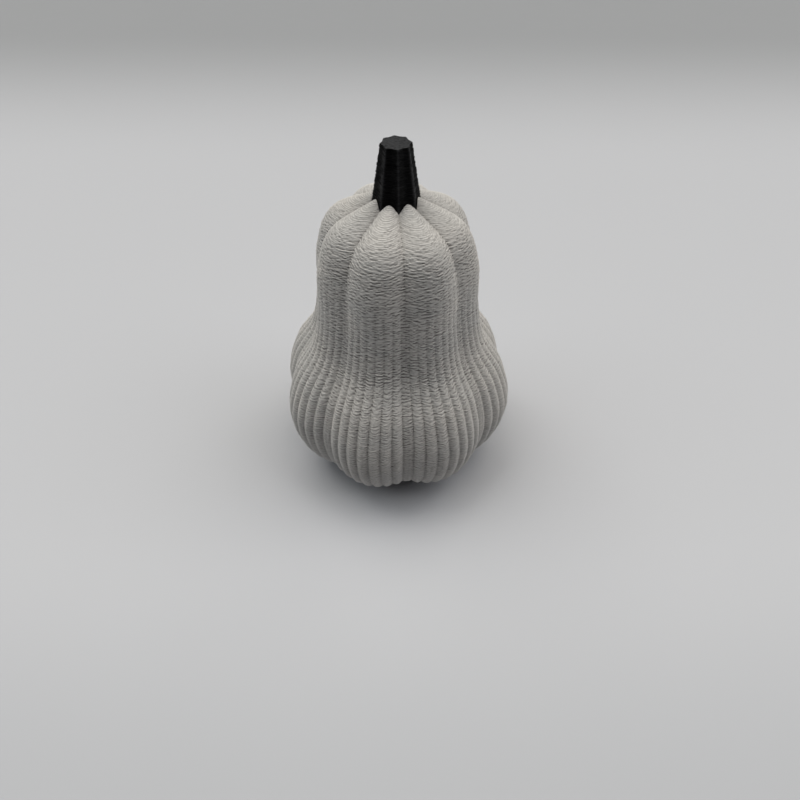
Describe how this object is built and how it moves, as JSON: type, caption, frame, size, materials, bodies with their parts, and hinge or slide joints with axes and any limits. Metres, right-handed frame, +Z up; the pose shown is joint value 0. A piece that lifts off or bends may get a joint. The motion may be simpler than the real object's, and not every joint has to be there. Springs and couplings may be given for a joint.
{
  "type": "decorative printed butternut squash",
  "caption": "Free-standing ornament shaped as a butternut squash: a lobed, ribbed off-white body with a knitted look and a fluted black stem set in its crown.",
  "frame": {"origin": "on the upright axis, in the middle of the flat spot that the body rests on", "axes": "+Z runs up the axis from the flat spot to the top of the stem; -Y faces the viewer of the picture, with one groove turned 6.2 degrees from it towards +X"},
  "size_m": [0.0944, 0.0944, 0.1374],
  "materials": {
    "off_white_print": "matt, with fine upright ribs and short wavy creases across them",
    "black_print": "satin, with fine level print lines"
  },
  "bodies": {
    "root": {"squash_body": "off_white_print", "stem": "black_print"}
  },
  "joints": []
}
